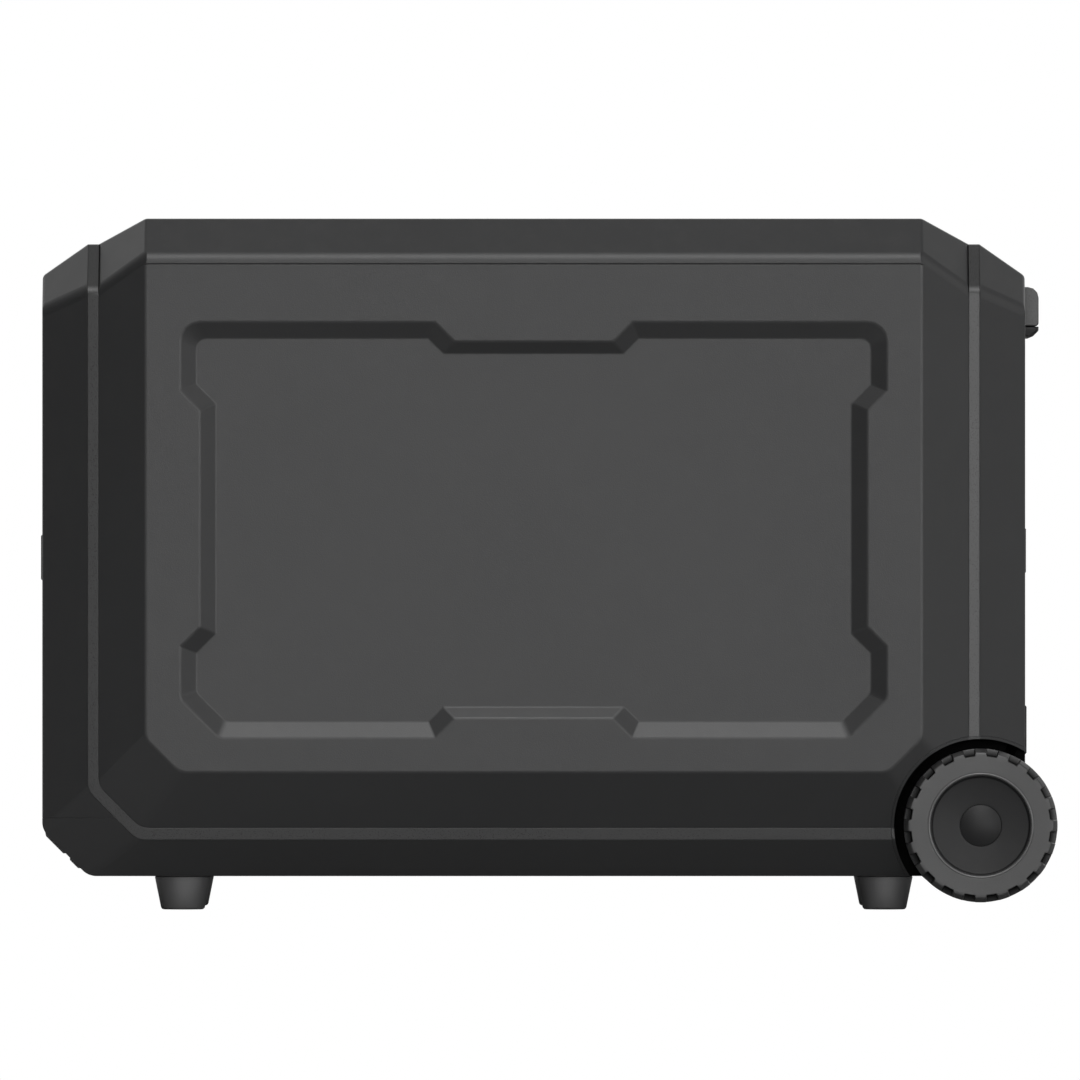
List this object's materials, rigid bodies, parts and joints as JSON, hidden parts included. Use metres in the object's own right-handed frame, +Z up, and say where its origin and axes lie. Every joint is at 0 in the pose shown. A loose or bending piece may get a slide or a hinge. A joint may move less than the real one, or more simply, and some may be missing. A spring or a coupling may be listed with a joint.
{
  "type": "wheeled battery pack",
  "caption": "Wheeled battery pack: ribbed-belt plastic case with recessed side panels, feet, rear wheels, telescoping pull handle, covered ports and cells inside.",
  "frame": {"origin": "the middle of the bounding box at floor level, under the pack", "axes": "+X from the control end to the wheel end, +Y to the right side, +Z up"},
  "size_m": [0.6626, 0.35, 0.45],
  "materials": {
    "shell_plastic": "fine-grained moulded plastic, satin black",
    "belt_plastic": "smoother moulded plastic, dark grey",
    "black_plastic": "matt black plastic",
    "foot_rubber": "matt dark grey rubber",
    "tyre_rubber": "matt black rubber with light scuffing",
    "zinc_steel": "zinc-plated steel",
    "tube_aluminium": "anodised aluminium",
    "copper": null,
    "cell_wrap": "blue film over prismatic cells",
    "circuit_board": "green solder resist",
    "display_window": "smoked gloss plastic window",
    "red_plastic": "red moulded plastic"
  },
  "bodies": {
    "housing": {"top_cover": "shell_plastic", "side_cover_left": "shell_plastic", "side_cover_right": "shell_plastic", "front_end_cap": "shell_plastic", "rear_end_cap": "shell_plastic", "base_tray": "shell_plastic", "belt_trim_front": "belt_plastic", "belt_trim_rear": "belt_plastic", "wheel_arch_left": "black_plastic", "wheel_arch_right": "black_plastic", "front_panel": "black_plastic", "switch_bezel": "black_plastic", "comm_ports": "black_plastic", "charge_inlet": "black_plastic", "link_socket": "black_plastic", "vent_grille": "black_plastic", "fan_frame": "black_plastic", "socket_negative": "black_plastic", "lift_pad": "foot_rubber", "foot_front_left": "foot_rubber", "foot_front_right": "foot_rubber", "foot_rear_left": "foot_rubber", "foot_rear_right": "foot_rubber", "axle": "zinc_steel", "axle_washer_left": "zinc_steel", "axle_washer_right": "zinc_steel", "cell_deck": "zinc_steel", "end_plate_front": "zinc_steel", "end_plate_rear": "zinc_steel", "sleeve_left": "tube_aluminium", "sleeve_right": "tube_aluminium", "heat_sink": "tube_aluminium", "busbar": "copper", "cell_module_lower_front": "cell_wrap", "cell_module_lower_rear": "cell_wrap", "cell_module_upper_front": "cell_wrap", "cell_module_upper_rear": "cell_wrap", "management_board": "circuit_board", "display_lens": "display_window", "socket_positive": "red_plastic"},
    "wheel_left": {"tyre_left": "tyre_rubber", "rim_left": "black_plastic", "hub_cap_left": "black_plastic"},
    "wheel_right": {"tyre_right": "tyre_rubber", "rim_right": "black_plastic", "hub_cap_right": "black_plastic"},
    "handle_middle": {"mid_tube_left": "tube_aluminium", "mid_tube_right": "tube_aluminium"},
    "handle_upper": {"inner_tube_left": "tube_aluminium", "inner_tube_right": "tube_aluminium", "handle_grip": "belt_plastic", "grip_pad": "black_plastic"},
    "release_button": {"release_button": "black_plastic"},
    "power_button": {"power_button": "zinc_steel"},
    "switch_rocker": {"switch_rocker": "black_plastic"},
    "comm_flap": {"comm_flap": "black_plastic"},
    "charge_flap": {"charge_flap": "black_plastic"},
    "link_flap": {"link_flap": "black_plastic"},
    "fan_rotor": {"fan_rotor": "black_plastic"}
  },
  "joints": [
    {"name": "wheel_left_spin", "type": "hinge", "parent": "housing", "child": "wheel_left", "pos_m": [0.28135, -0.157, 0.0552], "axis": [0, 1, 0], "continuous": true},
    {"name": "wheel_right_spin", "type": "hinge", "parent": "housing", "child": "wheel_right", "pos_m": [0.28135, 0.157, 0.0552], "axis": [0, 1, 0], "continuous": true},
    {"name": "handle_lower_stage", "type": "slide", "parent": "housing", "child": "handle_middle", "axis": [0, 0, 1], "range_m": [0, 0.24]},
    {"name": "handle_upper_stage", "type": "slide", "parent": "handle_middle", "child": "handle_upper", "axis": [0, 0, 1], "range_m": [0, 0.24]},
    {"name": "release_button_press", "type": "slide", "parent": "handle_upper", "child": "release_button", "axis": [0, 0, -1], "range_m": [0, 0.002], "stiffness_N_per_m": 800},
    {"name": "power_button_press", "type": "slide", "parent": "housing", "child": "power_button", "axis": [1, 0, 0], "range_m": [0, 0.0015], "stiffness_N_per_m": 1000},
    {"name": "main_switch_rock", "type": "hinge", "parent": "housing", "child": "switch_rocker", "pos_m": [-0.32185, -0.078, 0.15], "axis": [0, 1, 0], "range_deg": [0, 20]},
    {"name": "comm_flap_hinge", "type": "hinge", "parent": "housing", "child": "comm_flap", "pos_m": [-0.3305, 0, 0.2436], "axis": [0, 1, 0], "range_deg": [0, 150]},
    {"name": "charge_flap_hinge", "type": "hinge", "parent": "housing", "child": "charge_flap", "pos_m": [0.3118, 0, 0.2481], "axis": [0, -1, 0], "range_deg": [0, 150]},
    {"name": "link_flap_hinge", "type": "hinge", "parent": "housing", "child": "link_flap", "pos_m": [0.31205, 0, 0.1321], "axis": [0, -1, 0], "range_deg": [0, 150]},
    {"name": "fan_spin", "type": "hinge", "parent": "housing", "child": "fan_rotor", "pos_m": [0.30015, 0, 0.176], "axis": [1, 0, 0], "continuous": true}
  ]
}
